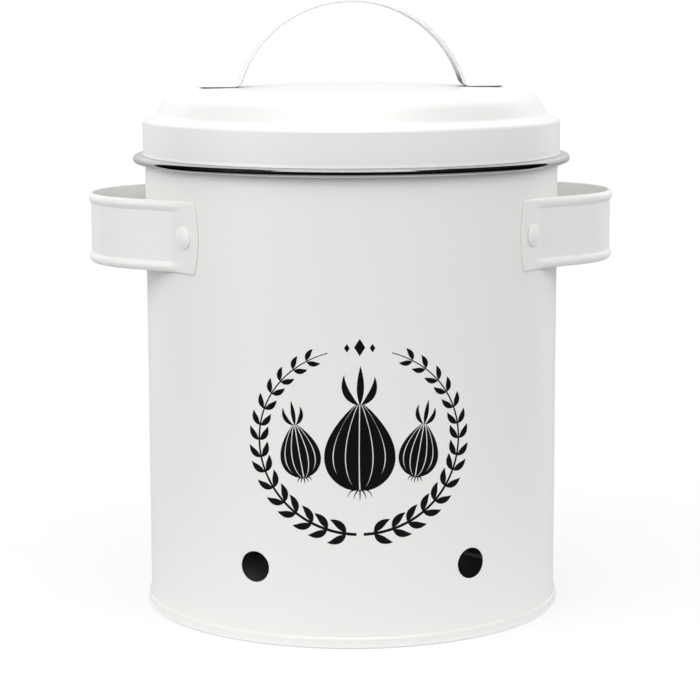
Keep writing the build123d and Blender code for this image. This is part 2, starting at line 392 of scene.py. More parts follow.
def powder_coat(material, tone, thin_tone=None):
    """White polyester powder coat, sprayed and baked on steel.

    It flows out semi-gloss with a faint orange peel about 2 mm across, so lamps show in
    it as soft patches, and with a second tone it lies thinner in places. A finer grain of
    half a millimetre shows only close by.
    """
    place = add_node(material, "ShaderNodeTexCoord").outputs["Object"]
    peel = add_node(material, "ShaderNodeTexNoise", {
        "Vector": place, "Scale": per(2.2 * MM), "Detail": 1.5, "Roughness": 0.4})
    grain = add_node(material, "ShaderNodeTexNoise", {
        "Vector": place, "Scale": per(0.5 * MM), "Detail": 2.0, "Roughness": 0.5})
    peel_bump = add_node(material, "ShaderNodeBump", {
        "Height": peel.outputs["Fac"], "Strength": 0.16, "Distance": 0.03 * MM})
    bump = add_node(material, "ShaderNodeBump", {
        "Height": grain.outputs["Fac"], "Normal": peel_bump.outputs["Normal"],
        "Strength": 0.10, "Distance": 0.006 * MM})
    drift = add_node(material, "ShaderNodeTexNoise", {
        "Vector": place, "Scale": per(55 * MM), "Detail": 3.0, "Roughness": 0.55})
    paint = rgba(tone)
    if thin_tone is not None:
        mixed = add_node(material, "ShaderNodeMix", {
            "Factor": drift.outputs["Fac"], "A": paint, "B": rgba(thin_tone)}, data_type="RGBA")
        paint = mixed.outputs["Result"]
    gloss = add_node(material, "ShaderNodeMapRange", {
        "Value": drift.outputs["Fac"], "To Min": 0.26, "To Max": 0.34})
    shader = add_node(material, "ShaderNodeBsdfPrincipled", {
        "Base Color": paint, "Roughness": gloss.outputs["Result"],
        "Normal": bump.outputs["Normal"], "IOR": 1.5})
    return shader.outputs["BSDF"]


def arch_shade_coat(material):
    """Powder coat under the arched lid handle, with painted shade.

    Its colour is near black at the feet and grows lighter up the arch: painted shade on the strap's
    underside, darkest where it meets the lid.
    """
    place = add_node(material, "ShaderNodeTexCoord").outputs["Object"]
    height = add_node(material, "ShaderNodeSeparateXYZ", {"Vector": place}).outputs["Z"]
    climb = add_node(material, "ShaderNodeMapRange", {
        "Value": height, "From Min": ARCH_LOW[2], "From Max": ARCH_LOW[2] + ARCH_SHADE_CLIMB})
    tone = add_node(material, "ShaderNodeValToRGB", {"Fac": climb.outputs["Result"]})
    for stop, (place_up, code) in zip(ramp_stops(tone, len(ARCH_SHADE_TONES)), ARCH_SHADE_TONES):
        stop.position = place_up
        stop.color = rgba(linear(code))
    grain = add_node(material, "ShaderNodeTexNoise", {
        "Vector": place, "Scale": per(0.5 * MM), "Detail": 2.0, "Roughness": 0.5})
    bump = add_node(material, "ShaderNodeBump", {
        "Height": grain.outputs["Fac"], "Strength": 0.2, "Distance": 0.01 * MM})
    shader = add_node(material, "ShaderNodeBsdfPrincipled", {
        "Base Color": tone.outputs["Color"], "Roughness": 0.45,
        "Normal": bump.outputs["Normal"], "IOR": 1.5})
    return shader.outputs["BSDF"]


def polished_steel(material):
    """Stainless steel strip, roll-formed and polished.

    It mirrors the room in bands along its round section, softened by drawing lines that
    run round the rim. The real lines are finer, and are drawn 0.12 mm apart to show.
    """
    place = add_node(material, "ShaderNodeTexCoord").outputs["Object"]
    drawn = add_node(material, "ShaderNodeMapping", {
        "Vector": place, "Scale": (per(9 * MM), per(9 * MM), per(0.12 * MM))})
    lines = add_node(material, "ShaderNodeTexNoise", {
        "Vector": drawn.outputs["Vector"], "Scale": 1.0, "Detail": 2.0})
    bump = add_node(material, "ShaderNodeBump", {
        "Height": lines.outputs["Fac"], "Strength": 0.08, "Distance": 0.004 * MM})
    gloss = add_node(material, "ShaderNodeMapRange", {
        "Value": lines.outputs["Fac"], "To Min": 0.07, "To Max": 0.13})
    shader = add_node(material, "ShaderNodeBsdfPrincipled", {
        "Base Color": rgba(colours().trim), "Metallic": 1.0,
        "Roughness": gloss.outputs["Result"], "Normal": bump.outputs["Normal"]})
    return shader.outputs["BSDF"]


def screen_ink(material):
    """Black screen-printing ink, cured on the coat.

    It is matt and nearly black, with the mesh of the screen just visible as fine texture.
    A real mesh is finer, and is drawn 0.35 mm apart to show.
    """
    place = add_node(material, "ShaderNodeTexCoord").outputs["Object"]
    mesh = add_node(material, "ShaderNodeTexNoise", {
        "Vector": place, "Scale": per(0.35 * MM), "Detail": 2.0})
    bump = add_node(material, "ShaderNodeBump", {
        "Height": mesh.outputs["Fac"], "Strength": 0.2, "Distance": 0.01 * MM})
    gloss = add_node(material, "ShaderNodeMapRange", {
        "Value": mesh.outputs["Fac"], "To Min": 0.42, "To Max": 0.52})
    shader = add_node(material, "ShaderNodeBsdfPrincipled", {
        "Base Color": rgba(colours().ink), "Roughness": gloss.outputs["Result"],
        "Normal": bump.outputs["Normal"], "IOR": 1.48, "Specular IOR Level": 0.25})
    return shader.outputs["BSDF"]


def seen_rays(owner):
    """1 for what the eye sees, straight or in a mirror or glass, and 0 for light that falls on things."""
    path = add_node(owner, "ShaderNodeLightPath")
    seen = add_node(owner, "ShaderNodeMath", {
        0: path.outputs["Is Camera Ray"], 1: path.outputs["Is Glossy Ray"]}, operation="MAXIMUM")
    seen = add_node(owner, "ShaderNodeMath", {
        0: seen.outputs["Value"], 1: path.outputs["Is Transmission Ray"]}, operation="MAXIMUM")
    return seen.outputs["Value"]


def table_top(material):
    """Matt white board, melamine faced: it spreads the light and has no mirror image.

    It shows as white to the eye and in mirrors, and keeps the tin's shadow.
    """
    board = add_node(material, "ShaderNodeBsdfDiffuse", {"Color": rgba(colours().floor)})
    strength = add_node(material, "ShaderNodeMath", {
        0: seen_rays(material), 1: FLOOR_LIFT}, operation="MULTIPLY")
    lift = add_node(material, "ShaderNodeEmission", {"Strength": strength.outputs["Value"]})
    total = add_node(material, "ShaderNodeAddShader", {
        0: board.outputs["BSDF"], 1: lift.outputs["Emission"]})
    return total.outputs["Shader"]


def glowing_mirror_card(material, levels, span):
    """Glowing card, no lamp, that only mirrors see: a painted reflection whose level changes away from the
    tin.

    Its levels and the span they change over are each given as near and far.
    """
    near_level, far_level = levels
    near, far = span
    place = add_node(material, "ShaderNodeTexCoord").outputs["Object"]
    away = add_node(material, "ShaderNodeVectorMath", {0: place}, operation="LENGTH")
    level = add_node(material, "ShaderNodeMapRange", {
        "Value": away.outputs["Value"], "From Min": near, "From Max": far,
        "To Min": near_level, "To Max": far_level})
    shade = add_node(material, "ShaderNodeEmission", {"Strength": level.outputs["Result"]})
    return shade.outputs["Emission"]


def coat():
    """The powder coat of every sheet part."""
    return finish("white_powder_coat", powder_coat, colours().coat, colours().coat_shade)


def rivet_coat():
    """The same coat on the rivet heads."""
    return finish("white_rivet_coat", powder_coat, colours().coat, colours().coat_shade)


def inside_shade_coat():
    """A grey coat on the inside faces: painted shade for the dark inside the closed tin."""
    return finish("inside_painted_shade_coat", powder_coat, colours().inside)


def rounded_line(points, radii):
    """Points along a line, with an arc in each corner."""
    line = [points[0]]
    for before, corner, after, radius in zip(points, points[1:], points[2:], radii):
        into = (corner - before).normalized()
        away = (after - corner).normalized()
        turn = into.angle(away)
        start = corner - into * radius * tan(turn / 2)
        side = Vector((-into.y, into.x))
        if side.dot(away) < 0:
            side.negate()
        centre = start + side * radius
        count = max(2, ceil(turn / ARC_STEP))
        for i in range(count + 1):
            angle = turn * i / count
            line.append(centre - side * radius * cos(angle) + into * radius * sin(angle))
    line.append(points[-1])
    return line


def sheet_loop(points, bends, thickness):
    """Closed section of bent sheet as (radius, height) points.

    One face follows the points and the other lies one thickness to their left. Each bend
    is the radius inside that corner, and a bend of 0 is a corner pressed sharp.
    """
    here = [Vector(point) for point in points]
    runs = [(b - a).normalized() for a, b in zip(here, here[1:])]
    lefts = [Vector((-run.y, run.x)) for run in runs]
    there = [here[0] + lefts[0] * thickness]
    near_radii = []
    far_radii = []
    for corner, bend, before, after in zip(here[1:], bends, lefts, lefts[1:]):
        there.append(corner + (before + after) * (thickness / (1 + before.dot(after))))
        turns_left = before.x * after.y - before.y * after.x > 0
        inside = bend or PRESSED_R / 4
        outside = bend + thickness if bend else PRESSED_R
        near_radii.append(outside if turns_left else inside)
        far_radii.append(inside if turns_left else outside)
    there.append(here[-1] + lefts[-1] * thickness)
    near = rounded_line(here, near_radii)
    far = rounded_line(there, far_radii)
    return guarded([*near, *reversed(far)])


def guarded(loop):
    """The loop with a point close to each end of its long runs, which keeps them flat in shading."""
    guards = []
    for a, b in zip(loop, [*loop[1:], loop[0]]):
        guards.append(a)
        run = b - a
        if run.length > 3 * GUARD:
            guards.append(a + run.normalized() * GUARD)
            guards.append(b - run.normalized() * GUARD)
    return guards


def split_upright(loop, levels):
    """The loop with extra points at those heights on its long upright runs."""
    points = []
    for a, b in zip(loop, [*loop[1:], loop[0]]):
        points.append(a)
        if abs(b.x - a.x) < GUARD and abs(b.y - a.y) > levels[-1] - levels[0]:
            between = levels if b.y > a.y else levels[::-1]
            points += [Vector((a.x, level)) for level in between]
    return points


class Shell:
    """Vertices and faces of one piece while it is being built."""

    def __init__(self):
        self.verts = []
        self.faces = []

    def add(self, point):
        """Adds a vertex and returns its index."""
        self.verts.append(point)
        return len(self.verts) - 1

    def bridge(self, first, second, closed=True):
        """Joins two rows of vertices with quads, or triangles where a row is one point."""
        count = max(len(first), len(second))
        for i in range(count if closed else count - 1):
            j = (i + 1) % count
            corners = [first[i % len(first)], first[j % len(first)]]
            corners += [second[j % len(second)], second[i % len(second)]]
            face = list(dict.fromkeys(corners))
            if len(face) > 2:
                self.faces.append(face)


def upright(radius, angle, z):
    """A point at a plan angle from +X."""
    return (radius * cos(angle), radius * sin(angle), z)


def rotated(u, v, angle):
    """A flat point turned about the origin."""
    return u * cos(angle) - v * sin(angle), u * sin(angle) + v * cos(angle)


def even_angles(count):
    """Even angles all the way round."""
    return [2 * pi * i / count for i in range(count)]


def spin(loop):
    """The loop turned about the tin's axis."""
    shell = Shell()
    columns = even_angles(COLUMNS)
    rows = []
    for radius, z in loop:
        angles = columns if radius > SAME else [0.0]
        rows.append([shell.add(upright(radius, angle, z)) for angle in angles])
    for first, second in zip(rows, [*rows[1:], rows[0]]):
        shell.bridge(first, second)
    return shell


def make_piece(name, shell, body, material, nodes=()):
    """Makes the shell an object that rides a body and stands for CAD nodes."""
    mesh = bpy.data.meshes.new(name)
    mesh.from_pydata(shell.verts, [], shell.faces)
    mesh.validate()
    face_outward(mesh)
    mesh.shade_smooth()
    mesh.set_sharp_from_angle(angle=SMOOTH_LIMIT)
    mesh.materials.append(material)
    piece = bpy.data.objects.new(name, mesh)
    bpy.context.scene.collection.objects.link(piece)
    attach(piece, body)
    if nodes:
        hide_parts(*nodes)
    return piece


def coat_inside(piece, is_inside, thin=None):
    """Gives painted shade, the grey inside coat or another, to faces whose centre and normal pass a test.
    """
    piece.data.materials.append(thin or inside_shade_coat())
    for face in piece.data.polygons:
        if is_inside(face.center, face.normal):
            face.material_index = 1


def face_outward(mesh):
    """Turns every face of a closed mesh outward."""
    work = bmesh.new()
    work.from_mesh(mesh)
    bmesh.ops.recalc_face_normals(work, faces=work.faces)
    work.to_mesh(mesh)
    work.free()


def wall_columns():
    """Plan angles of the wall's columns, and for each vent the first of its columns.

    The columns are closer at the vents and at the groove of the back seam.
    """
    half = VENT_PATCH / sizes().wall_r
    plain = 2 * pi / VENT_COUNT - 2 * half
    columns = []
    starts = []
    for vent in even_angles(VENT_COUNT):
        starts.append(len(columns))
        columns += [vent - half + 2 * half * i / VENT_CELLS for i in range(VENT_CELLS)]
        for i in range(PLAIN_CELLS):
            angle = vent + half + plain * i / PLAIN_CELLS
            if abs(angle - pi / 2) < plain / PLAIN_CELLS / 2:
                columns += [pi / 2 + across * MM / sizes().wall_r for across, _ in GROOVE]
            else:
                columns.append(angle)
    return columns, starts


def groove_depth(angle, z):
    """Depth of the line that the lock seam leaves down the outside at the back."""
    across = (angle - pi / 2) * sizes().wall_r / MM
    if z < GROOVE_Z[0] or z > GROOVE_Z[1]:
        return 0.0
    for place, depth in GROOVE:
        if abs(across - place) * MM < SAME:
            return depth * MM
    return 0.0


def wall_loop():
    """Section of the wall: hook in the base seam, upright, and curl inside the trim."""
    sheet = sizes().sheet
    wall_r = sizes().wall_r
    hook_r = wall_r + sheet
    curl_r = RING_HIGH[0] - TRIM_SHEET - sheet
    curl_top = RING_HIGH[2] - TRIM_SHEET - sheet
    curl_foot = RING_LOW[2] + TRIM_SHEET + sheet
    curl_bend = (curl_top - curl_foot) / 2 - CURL_SLACK
    points = [
        (hook_r, SEAM_HEIGHT - sheet - HOOK_GAP),
        (hook_r, 2 * sheet),
        (wall_r, 2 * sheet),
        (wall_r, curl_top),
        (curl_r, curl_top),
        (curl_r, curl_foot),
        (CURL_END_R, curl_foot),
    ]
    return sheet_loop(points, [*HOOK_BENDS, curl_bend, curl_bend], sheet)


def vent_rings(shell, angle, square, outer):
    """Rows of vertices from the square patch round a vent to the edge of its hole, on one face."""
    vent_r = sizes().vent_r
    face_r = sizes().wall_r if outer else inner_r()
    inward = -1 if outer else 1
    rounds = [(share, vent_r + VENT_LIP, face_r) for share in VENT_SHARES]
    for turn in shares(LIP_STEPS, 1):
        radius = vent_r + VENT_LIP * (1 - sin(turn * pi / 2))
        rounds.append((0.0, radius, face_r + inward * VENT_LIP * (1 - cos(turn * pi / 2))))
    rings = []
    for share, radius, depth in rounds:
        ring = []
        for u, v in square:
            reach = hypot(u, v)
            away = (radius + (reach - radius) * share) / reach
            ring.append(shell.add(beside(angle, u * away, v * away, depth)))
        rings.append(ring)
    return rings


def beside(angle, u, v, radius):
    """A point on the wall, u along it and v above a vent's centre."""
    return upright(radius, angle + u / sizes().wall_r, sizes().vent_z + v)


def build_wall():
    """Vertices and faces of the vented wall with its back seam."""
    shell = Shell()
    columns, starts = wall_columns()
    levels = [sizes().vent_z - VENT_PATCH + VENT_CELL * i for i in range(VENT_CELLS + 1)]
    ends = [end + run for end in GROOVE_Z for run in (-GROOVE_RUNOUT, GROOVE_RUNOUT)]
    loop = split_upright(wall_loop(), sorted([*ends, *levels]))
    rows = wall_rows(shell, loop, columns)
    level_rows = find_level_rows(loop, levels)
    fill_wall(shell, rows, level_rows, starts)
    walk = patch_walk()
    square = [(VENT_CELL * i - VENT_PATCH, VENT_CELL * j - VENT_PATCH) for i, j in walk]
    for start, angle in zip(starts, even_angles(VENT_COUNT)):
        sides = []
        for outer in (True, False):
            edge = [rows[level_rows[outer, j]][start + i] for i, j in walk]
            sides.append([edge, *vent_rings(shell, angle, square, outer)])
        chain = [*sides[0], *reversed(sides[1])]
        for first, second in zip(chain, chain[1:]):
            shell.bridge(first, second)
    add_lock_seam(shell)
    return shell


def wall_rows(shell, loop, columns):
    """Rows of vertices round the wall, one for each point of its section."""
    rows = []
    for radius, z in loop:
        outside = abs(radius - sizes().wall_r) < SAME
        row = []
        for angle in columns:
            depth = groove_depth(angle, z) if outside else 0.0
            row.append(shell.add(upright(radius - depth, angle, z)))
        rows.append(row)
    return rows


def find_level_rows(loop, levels):
    """The wall's row at each level of the vents' cells, on its outer face and its inner one."""
    faces = ((True, sizes().wall_r), (False, inner_r()))
    found = {}
    for k, (radius, z) in enumerate(loop):
        for i, level in enumerate(levels):
            for outer, face_r in faces:
                if abs(z - level) < SAME and abs(radius - face_r) < SAME:
                    found[outer, i] = k
    return found


def fill_wall(shell, rows, level_rows, starts):
    """Faces between the wall's rows, except in the square patches round the vents."""
    patch = {start + i for start in starts for i in range(VENT_CELLS)}
    for k, row in enumerate(rows):
        after = (k + 1) % len(rows)
        in_patch = any(
            {k, after} == {level_rows[outer, i], level_rows[outer, i + 1]}
            for outer in (True, False) for i in range(VENT_CELLS)
        )
        for i in range(len(row)):
            if not (in_patch and i in patch):
                j = (i + 1) % len(row)
                shell.faces.append([row[i], row[j], rows[after][j], rows[after][i]])


def patch_walk():
    """Cells' corners round the edge of a square patch, counterclockwise from its lower left."""
    last = VENT_CELLS
    walk = [(i, 0) for i in range(last)]
    walk += [(last, i) for i in range(last)]
    walk += [(last - i, last) for i in range(last)]
    walk += [(0, last - i) for i in range(last)]
    return walk


def add_lock_seam(shell):
    """Adds the flattened lock seam inside the wall at the back, two thicknesses deep."""
    depth = 2 * sizes().sheet
    half = LOCK_SEAM_WIDTH / 2
    bite = LOCK_SEAM_BITE
    edge = LOCK_SEAM_EDGE
    outline = [(-half, -bite), (-half, depth - edge), (-half + edge, depth)]
    outline += [(half - edge, depth), (half, depth - edge), (half, -bite)]
    ends = []
    for z in LOCK_SEAM_Z:
        ends.append([shell.add(upright(inner_r() - d, pi / 2 + u / inner_r(), z)) for u, d in outline])
    shell.bridge(ends[0], ends[1])
    shell.faces.append(ends[0][::-1])
    shell.faces.append(ends[1])


def base_loop():
    """Section of the base sheet, rolled round the wall's hook as a double seam."""
    sheet = sizes().sheet
    wall_r = sizes().wall_r
    cover_r = BASE_HIGH[0] - sheet
    points = [
        (wall_r + sheet, 3 * sheet),
        (wall_r + sheet, SEAM_HEIGHT - sheet),
        (cover_r, SEAM_HEIGHT - sheet - SEAM_SLOPE),
        (cover_r, sheet),
        (wall_r - sheet, sheet),
        (wall_r - sheet, PANEL_TOP_Z),
        (STEP_R, PANEL_TOP_Z),
        (STEP_R - STEP_RUN, PANEL_TOP_Z - STEP_DROP),
        (0, PANEL_TOP_Z - STEP_DROP),
    ]
    return sheet_loop(points, BASE_BENDS, sheet)


def trim_loop():
    """Section of the bright trim round the curled rim."""
    top = RING_HIGH[2] - TRIM_SHEET
    foot = RING_LOW[2] + TRIM_SHEET
    outer_r = RING_HIGH[0] - TRIM_SHEET
    bend = (top - foot) / 2 - TRIM_SLACK
    points = [(TRIM_TOP_INNER_R, top), (outer_r, top), (outer_r, foot), (TRIM_FOOT_INNER_R, foot)]
    return sheet_loop(points, [bend, bend], TRIM_SHEET)


def lid_loop():
    """Section of the pressed lid: hem, flared skirt, ledge, steep flank, soft shoulder, low crown."""
    sheet = sizes().sheet
    skirt_r = CAP_HIGH[0]
    hem_r = skirt_r - 2 * sheet - HEM_GAP
    foot_z = CAP_LOW[2] - SKIRT_DROP
    flare, flare_height = SKIRT_FLARE
    points = [
        (hem_r, foot_z + HEM_HEIGHT),
        (hem_r, foot_z),
        (skirt_r + flare, foot_z),
        (skirt_r, foot_z + flare_height),
        (skirt_r, LEDGE_OUTER_Z),
        LEDGE_INNER,
        SHOULDER_LOW,
        SHOULDER_HIGH,
        (CROWN_R, CAP_HIGH[2]),
        (0, CAP_HIGH[2]),
    ]
    return sheet_loop(points, LID_BENDS, sheet)


def collar_loop():
    """Section of the ring inside the lid that drops into the mouth."""
    sheet = sizes().sheet
    fall = (LEDGE_INNER[1] - LEDGE_OUTER_Z) / (CAP_HIGH[0] - LEDGE_INNER[0])
    below = 2 * sheet / cos(atan(fall)) + COLLAR_GAP
    flange_z = LEDGE_INNER[1] - (COLLAR_R - LEDGE_INNER[0]) * fall - below
    lead_in, lead_up = COLLAR_LEAD
    foot_z = COLLAR_LOW[2]
    points = [
        (COLLAR_R - lead_in, foot_z),
        (COLLAR_R, foot_z + lead_up),
        (COLLAR_R, flange_z),
        (COLLAR_FLANGE_R, flange_z - (COLLAR_FLANGE_R - COLLAR_R) * fall),
    ]
    return sheet_loop(points, COLLAR_BENDS, sheet)


def shares(count, first=0):
    """Even steps from 0 to 1, without the first few."""
    return [i / count for i in range(first, count + 1)]


def eased(share):
    """A share from 0 to 1 that starts and ends gently."""
    share = min(max(share, 0.0), 1.0)
    return share * share * (3 - 2 * share)


class SideLine:
    """Half of a side handle's line in plan, from the tip of its foot to its apex.

    Its stretches are the foot on the wall, the bend away from it, the straight leg and
    the rounded apex.
    """

    def __init__(self, reach):
        self.reach = reach
        self.hub = sizes().wall_r + LEG_BEND_R
        across = self.hub * sin(FOOT_START)
        along = self.hub * cos(FOOT_START) + APEX_R - reach
        turns = LEG_BEND_R + APEX_R
        self.heading = asin(turns / hypot(across, along)) - atan2(along, across)
        self.run = (across - turns * sin(self.heading)) / cos(self.heading)
        self.foot_run = (FOOT_END - FOOT_START) * sizes().wall_r
        self.bend_run = (self.heading - FOOT_START) * LEG_BEND_R
        self.steps = SIDE_STEPS

    def point(self, stretch, share, offset, lag):
        """A point of the line, moved out by an offset, with its tip drawn back by a lag."""
        wall_r = sizes().wall_r
        if stretch == "foot":
            tip = FOOT_END - lag / wall_r
            angle = tip + (FOOT_START - tip) * share
            return Vector(((wall_r + offset) * cos(angle), (wall_r + offset) * sin(angle)))
        if stretch == "apex":
            angle = self.heading * (1 - share)
            radius = APEX_R + offset
            return Vector((self.reach - APEX_R + radius * cos(angle), radius * sin(angle)))
        turned_by = (self.heading - FOOT_START) * (share if stretch == "bend" else 1)
        angle = pi + FOOT_START + turned_by
        radius = LEG_BEND_R - offset
        place = Vector((self.hub * cos(FOOT_START), self.hub * sin(FOOT_START)))
        place += Vector((radius * cos(angle), radius * sin(angle)))
        if stretch == "leg":
            place += Vector((sin(self.heading), -cos(self.heading))) * self.run * share
        return place


class ArchLine:
    """Half of the lid handle's line, across and up, from the tip of its foot to its crown."""

    def __init__(self, height):
        self.half_span = ARCH_HIGH[0] - ARCH_FOOT_RUN
        self.climb = 2 * atan(height / self.half_span)
        self.radius = self.half_span / sin(self.climb) - ARCH_BEND_R
        self.foot_run = ARCH_FOOT_RUN
        self.bend_run = self.climb * ARCH_BEND_R
        self.steps = ARCH_STEPS

    def point(self, stretch, share, offset, lag):
        """A point of the line, moved out by an offset, with its tip drawn back by a lag."""
        foot_z = ARCH_LOW[2]
        if stretch == "foot":
            tip = ARCH_HIGH[0] - lag
            return Vector((tip + (self.half_span - tip) * share, foot_z + offset))
        if stretch == "bend":
            angle = -pi / 2 - self.climb * share
            reach = ARCH_BEND_R - offset
            across = self.half_span + reach * cos(angle)
            return Vector((across, foot_z + ARCH_BEND_R + reach * sin(angle)))
        angle = pi / 2 - self.climb * (1 - share)
        centre_z = foot_z + ARCH_BEND_R - (ARCH_BEND_R + self.radius) * cos(self.climb)
        reach = self.radius + offset
        return Vector((reach * cos(angle), centre_z + reach * sin(angle)))


def nose_steps(nose):
    """Distances from an edge, each with how much of the sheet's thickness is there."""
    return [(nose * (1 - cos(pi / 2 * s)), sin(pi / 2 * s)) for s in shares(NOSE_STEPS)]


def strap_levels(half, width, nose):
    """Places across a strap, each with its share of the thickness and of the bead's rise."""
    levels = [(half - away, full, sin(pi * away / width)) for away, full in nose_steps(nose)]
    for share in shares(BEAD_STEPS, 1):
        away = nose + (width - nose) * share
        levels.append((half - away, 1.0, sin(pi * away / width)))
    levels += [(half - width - run, 1.0, 0.0) for run in BEAD_GUARDS]
    mirrored = [(-level, full, swell) for level, full, swell in reversed(levels)]
    return [*levels, (0.0, 1.0, 0.0), *mirrored]


def strap_stations(line, nose):
    """Places along half a strap, each with its share of the thickness and of the bead."""
    stations = [("foot", away / line.foot_run, full) for away, full in nose_steps(nose)]
    first = stations[-1][1]
    for stretch, count in line.steps.items():
        start = first if stretch == "foot" else 0.0
        stations += [(stretch, start + (1 - start) * s, 1.0) for s in shares(count, 1)]
    found = []
    for stretch, share, full in stations:
        past = {"foot": (share - 1) * line.foot_run, "bend": share * line.bend_run}
        past = past.get(stretch, line.bend_run)
        found.append((stretch, share, full, eased((past + BEAD_START) / (line.bend_run + BEAD_START))))
    return found


def strap(line, thickness, rise, levels, tip_nose, sag, place):
    """Strap along a line and its mirror image, rounded at every edge, with rolled beads.

    sag says how far the tip of the foot is drawn back at a level, and place puts a point
    and its level across the strap in space.
    """
    middle = NOSE_MIDDLE * thickness
    half = strap_stations(line, tip_nose)
    stations = [(*station, 1) for station in half] + [(*station, -1) for station in half[-2::-1]]
    shell = Shell()
    inner = []
    outer = []
    for stretch, share, tip_full, bead, side in stations:
        row_in = []
        row_out = []
        for level, edge_full, swell in levels:
            full = tip_full * edge_full
            face = thickness + rise * swell * bead
            low = line.point(stretch, share, middle * (1 - full), sag(level))
            row_in.append(shell.add(place(low, side, level)))
            if full > 0:
                high = line.point(stretch, share, middle + (face - middle) * full, sag(level))
                row_out.append(shell.add(place(high, side, level)))
            else:
                row_out.append(row_in[-1])
        inner.append(row_in)
        outer.append(row_out)
    for rows in (inner, outer):
        for first, second in zip(rows, rows[1:]):
            shell.bridge(first, second, closed=False)
    return shell


def build_rivets():
    """Four rivets, whose domed heads and tails follow the curved strap and wall."""
    shell = Shell()
    for angle in rivet_angles():
        rows = [rivet_row(shell, angle, reach, height) for reach, height in rivet_head()]
        rows += [rivet_row(shell, angle, reach, None, follow) for reach, follow in rivet_body()]
        rows.append(rivet_row(shell, angle, 0.0, inner_r() - TAIL_HEIGHT))
        for first, second in zip(rows, rows[1:]):
            shell.bridge(first, second)
    return shell


def rivet_head():
    """The dome and rounded rim of a head, as reaches from its axis and places along it."""
    top = sizes().wall_r + sizes().strap + RIVET_HEIGHT
    flat_r = sizes().rivet_r - RIVET_ROUND
    rise = RIVET_HEIGHT - RIVET_EDGE
    dome_r = (sizes().rivet_r ** 2 + rise ** 2) / (2 * rise)
    profile = [(0.0, top)]
    for share in shares(DOME_STEPS, 1):
        reach = flat_r * share
        profile.append((reach, top - dome_r + sqrt(dome_r ** 2 - reach ** 2)))
    lip = profile[-1][1] - RIVET_ROUND
    for turn in shares(ROUND_STEPS, 1):
        angle = turn * pi / 2
        profile.append((flat_r + RIVET_ROUND * sin(angle), lip + RIVET_ROUND * cos(angle)))
    return profile


def rivet_body():
    """The head's edge, shank and tail, as reaches and the radii about the tin's axis they follow."""
    seat = sizes().wall_r + sizes().strap
    head_r = sizes().rivet_r
    return [
        (head_r, seat + RIVET_LIFT),
        (head_r - RIVET_ROLL, seat + RIVET_LIFT),
        (head_r - RIVET_UNDERCUT, seat),
        (SHANK_R, seat - RIVET_BITE),
        (SHANK_R, inner_r()),
        (TAIL_R, inner_r() - RIVET_BITE),
        (TAIL_R, inner_r() - TAIL_EDGE),
        (TAIL_FACE_R, inner_r() - TAIL_FACE),
    ]


def rivet_angles():
    """Plan angles of the four rivets."""
    return [side + turn * RIVET_ANGLE for side in (0.0, pi) for turn in (-1, 1)]


def rivet_row(shell, angle, reach, height, follow=None):
    """A ring of a rivet at a reach from its axis.

    It lies at one height along the rivet's axis, or follows a cylinder about the tin's axis.
    """
    row = []
    for turn in even_angles(RIVET_SIDES if reach > 0 else 1):
        u = reach * cos(turn)
        along = sqrt(follow ** 2 - u ** 2) if follow else height
        row.append(shell.add((*rotated(along, u, angle), SIDE_MIDDLE_Z + reach * sin(turn))))
    return row


class TIN_OT_wall(bpy.types.Operator):
    """Rolled wall with its vents and back seam"""

    bl_idname = "tin.wall"
    bl_label = "Wall"

    def execute(self, context):
        shell = build_wall()
        wall = make_piece("body_wall_sheet", shell, "pot", coat(), ["body_wall"])
        split_r = sizes().wall_r - WALL_SPLIT * sizes().sheet
        # Painted shade: the wall's inside faces get the grey inside coat
        coat_inside(wall, lambda centre, normal: hypot(centre.x, centre.y) < split_r)
        return {"FINISHED"}


class TIN_OT_base(bpy.types.Operator):
    """Base sheet with its double seam"""

    bl_idname = "tin.base"
    bl_label = "Base"

    def execute(self, context):
        shell = spin(base_loop())
        base = make_piece("base_sheet", shell, "pot", coat(), ["base_plate"])
        wall_r = sizes().wall_r
        # Painted shade: the base panel's upper face gets the grey inside coat
        coat_inside(base, lambda centre, normal: normal.z > PANEL_UP and hypot(centre.x, centre.y) < wall_r)
        return {"FINISHED"}


class TIN_OT_trim(bpy.types.Operator):
    """Bright trim round the rim"""

    bl_idname = "tin.trim"
    bl_label = "Rim trim"

    def execute(self, context):
        steel = finish("polished_stainless", polished_steel)
        make_piece("rim_trim", spin(trim_loop()), "pot", steel, ["rim_ring"])
        return {"FINISHED"}


class TIN_OT_lid(bpy.types.Operator):
    """Pressed lid and the collar inside it"""

    bl_idname = "tin.lid"
    bl_label = "Lid"

    def execute(self, context):
        middle = Vector((0, 0, CAP_LOW[2]))
        rings = (("lid_sheet", lid_loop, "lid_cap"), ("lid_collar_sheet", collar_loop, "lid_collar"))
        for name, loop, node in rings:
            ring = make_piece(name, spin(loop()), "lid", coat(), [node])
            # Painted shade: the lid's inward faces get the grey inside coat
            coat_inside(ring, lambda centre, normal: normal.dot(centre - middle) < 0)
        return {"FINISHED"}


class TIN_OT_side_handles(bpy.types.Operator):
    """Strap handles on both sides"""

    bl_idname = "tin.side_handles"
    bl_label = "Side handles"

    def execute(self, context):
        half = (SIDE_HIGH[2] - SIDE_LOW[2]) / 2
        line = SideLine(SIDE_HIGH[0] - sizes().strap - SIDE_BEAD_RISE)
        nose, tip_nose = SIDE_NOSE
        levels = strap_levels(half, SIDE_BEAD_WIDTH, nose)
        for name, sign in (("right", 1), ("left", -1)):
            shell = strap(
                line, sizes().strap, SIDE_BEAD_RISE, levels, tip_nose,
                lambda level: FOOT_TIP_R - sqrt(FOOT_TIP_R ** 2 - level ** 2),
                lambda point, side, level: (sign * point.x, side * point.y, SIDE_MIDDLE_Z + level),
            )
            node = "side_handle_" + name
            make_piece(node + "_strap", shell, "pot", coat(), [node])
        return {"FINISHED"}


